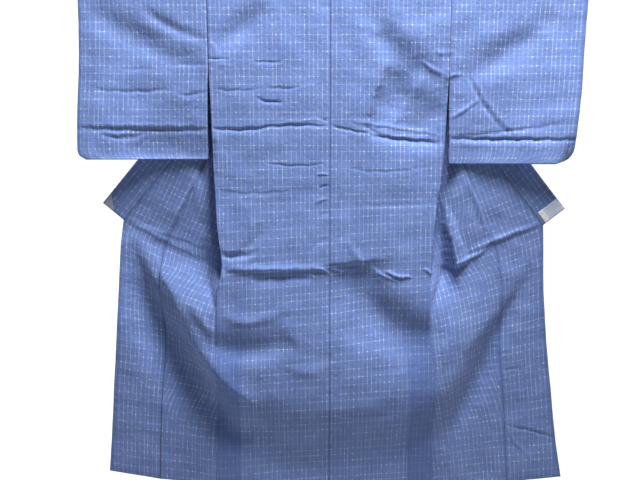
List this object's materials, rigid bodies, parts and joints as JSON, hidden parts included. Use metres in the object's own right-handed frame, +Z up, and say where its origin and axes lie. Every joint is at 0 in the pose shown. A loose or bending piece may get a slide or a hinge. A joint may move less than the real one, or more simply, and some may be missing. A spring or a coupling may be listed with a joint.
{
  "type": "kimono",
  "caption": "Unlined kimono in checked indigo cotton hung on a straight rod through its sleeves, seen from the back with the fronts opened outwards.",
  "frame": {"origin": "middle of the rod that holds the garment, on the rod's axis", "axes": "+X along the rod to the right of someone who faces the garment's back, +Z up, the garment's back faces -Y"},
  "size_m": [1.46, 0.1551, 1.4629],
  "materials": {
    "body_left_cloth": "matte, open woven cotton",
    "body_right_cloth": "matte, open woven cotton",
    "okumi_left_cloth": "matte, open woven cotton",
    "okumi_right_cloth": "matte, open woven cotton",
    "sleeve_left_cloth": "matte, open woven cotton",
    "sleeve_right_cloth": "matte, open woven cotton",
    "collar_cloth": "matte, open woven cotton",
    "end_cloth_left": "matte plain cotton",
    "end_cloth_right": "matte plain cotton",
    "rod_bamboo": "satin"
  },
  "bodies": {
    "root": {"body_left": "body_left_cloth", "body_right": "body_right_cloth", "okumi_left": "okumi_left_cloth", "okumi_right": "okumi_right_cloth", "sleeve_left": "sleeve_left_cloth", "sleeve_right": "sleeve_right_cloth", "collar": "collar_cloth", "collar_end_left": "end_cloth_left", "collar_end_right": "end_cloth_right", "rod": "rod_bamboo"}
  },
  "joints": []
}
